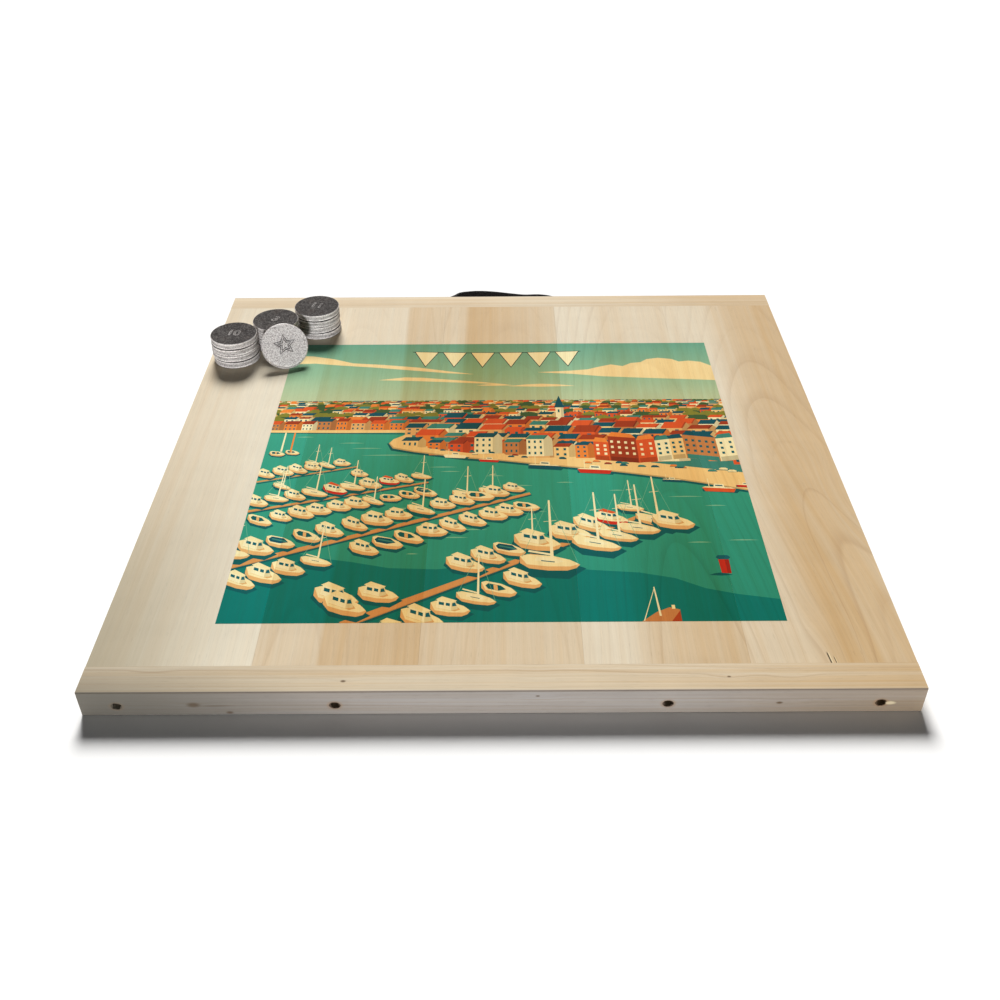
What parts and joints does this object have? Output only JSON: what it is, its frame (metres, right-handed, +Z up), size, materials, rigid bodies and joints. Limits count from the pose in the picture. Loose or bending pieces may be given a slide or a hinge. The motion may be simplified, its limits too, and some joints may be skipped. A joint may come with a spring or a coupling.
{
  "type": "palet throwing board",
  "caption": "Square poplar target board of tongue-and-groove planks between cross battens, with a webbing carrying handle, stacked cast-iron throwing discs and one leaning disc.",
  "frame": {"origin": "middle of the board's underside", "axes": "+X to the thrower's right across the board, +Y from the thrower's edge to the rear edge with the handle, +Z up"},
  "size_m": [0.7, 0.72, 0.0688],
  "materials": {
    "poplar_plank": "planed poplar, unvarnished",
    "poplar_batten": "planed poplar, unvarnished",
    "zinc_screw": "zinc plated",
    "black_steel": "black, satin",
    "black_webbing": "black woven webbing",
    "cast_iron": "sand cast and shot blasted"
  },
  "bodies": {
    "board": {"plank_1": "poplar_plank", "plank_2": "poplar_plank", "plank_3": "poplar_plank", "plank_4": "poplar_plank", "plank_5": "poplar_plank", "front_batten": "poplar_batten", "rear_batten": "poplar_batten", "front_batten_screw_1": "zinc_screw", "front_batten_screw_2": "zinc_screw", "front_batten_screw_3": "zinc_screw", "front_batten_screw_4": "zinc_screw", "rear_batten_screw_1": "zinc_screw", "rear_batten_screw_2": "zinc_screw", "rear_batten_screw_3": "zinc_screw", "rear_batten_screw_4": "zinc_screw", "handle_screw_left": "black_steel", "handle_screw_right": "black_steel", "handle_washer_left": "black_steel", "handle_washer_right": "black_steel"},
    "handle": {"handle_strap": "black_webbing"},
    "disc_left_1": {"disc_left_1": "cast_iron"},
    "disc_left_2": {"disc_left_2": "cast_iron"},
    "disc_left_3": {"disc_left_3": "cast_iron"},
    "disc_left_4": {"disc_left_4": "cast_iron"},
    "disc_middle_1": {"disc_middle_1": "cast_iron"},
    "disc_middle_2": {"disc_middle_2": "cast_iron"},
    "disc_middle_3": {"disc_middle_3": "cast_iron"},
    "disc_middle_4": {"disc_middle_4": "cast_iron"},
    "disc_right_1": {"disc_right_1": "cast_iron"},
    "disc_right_2": {"disc_right_2": "cast_iron"},
    "disc_right_3": {"disc_right_3": "cast_iron"},
    "disc_right_4": {"disc_right_4": "cast_iron"},
    "disc_leaning": {"disc_leaning": "cast_iron"}
  },
  "joints": [
    {"name": "handle_flex", "type": "slide", "parent": "board", "child": "handle", "axis": [0, 1, 0], "range_m": [-0.006, 0.01], "stiffness_N_per_m": 30, "deforming": ["handle_strap"]},
    {"name": "disc_left_1_lift", "type": "slide", "parent": "board", "child": "disc_left_1", "axis": [0, 0, 1], "range_m": [0, 0.05]},
    {"name": "disc_left_2_lift", "type": "slide", "parent": "disc_left_1", "child": "disc_left_2", "axis": [0, 0, 1], "range_m": [0, 0.05]},
    {"name": "disc_left_3_lift", "type": "slide", "parent": "disc_left_2", "child": "disc_left_3", "axis": [0, 0, 1], "range_m": [0, 0.05]},
    {"name": "disc_left_4_lift", "type": "slide", "parent": "disc_left_3", "child": "disc_left_4", "axis": [0, 0, 1], "range_m": [0, 0.05]},
    {"name": "disc_middle_1_lift", "type": "slide", "parent": "board", "child": "disc_middle_1", "axis": [-0.5226, 0.6906, 0.5], "range_m": [0, 0.05]},
    {"name": "disc_middle_2_lift", "type": "slide", "parent": "disc_middle_1", "child": "disc_middle_2", "axis": [-0.5226, 0.6906, 0.5], "range_m": [0, 0.05]},
    {"name": "disc_middle_3_lift", "type": "slide", "parent": "disc_middle_2", "child": "disc_middle_3", "axis": [-0.5226, 0.6906, 0.5], "range_m": [0, 0.05]},
    {"name": "disc_middle_4_lift", "type": "slide", "parent": "disc_middle_3", "child": "disc_middle_4", "axis": [-0.5226, 0.6906, 0.5], "range_m": [0, 0.05]},
    {"name": "disc_right_1_lift", "type": "slide", "parent": "board", "child": "disc_right_1", "axis": [0, 0, 1], "range_m": [0, 0.05]},
    {"name": "disc_right_2_lift", "type": "slide", "parent": "disc_right_1", "child": "disc_right_2", "axis": [0, 0, 1], "range_m": [0, 0.05]},
    {"name": "disc_right_3_lift", "type": "slide", "parent": "disc_right_2", "child": "disc_right_3", "axis": [0, 0, 1], "range_m": [0, 0.05]},
    {"name": "disc_right_4_lift", "type": "slide", "parent": "disc_right_3", "child": "disc_right_4", "axis": [0, 0, 1], "range_m": [0, 0.05]},
    {"name": "disc_leaning_lift", "type": "slide", "parent": "board", "child": "disc_leaning", "axis": [0, 0, 1], "range_m": [0, 0.05]}
  ]
}
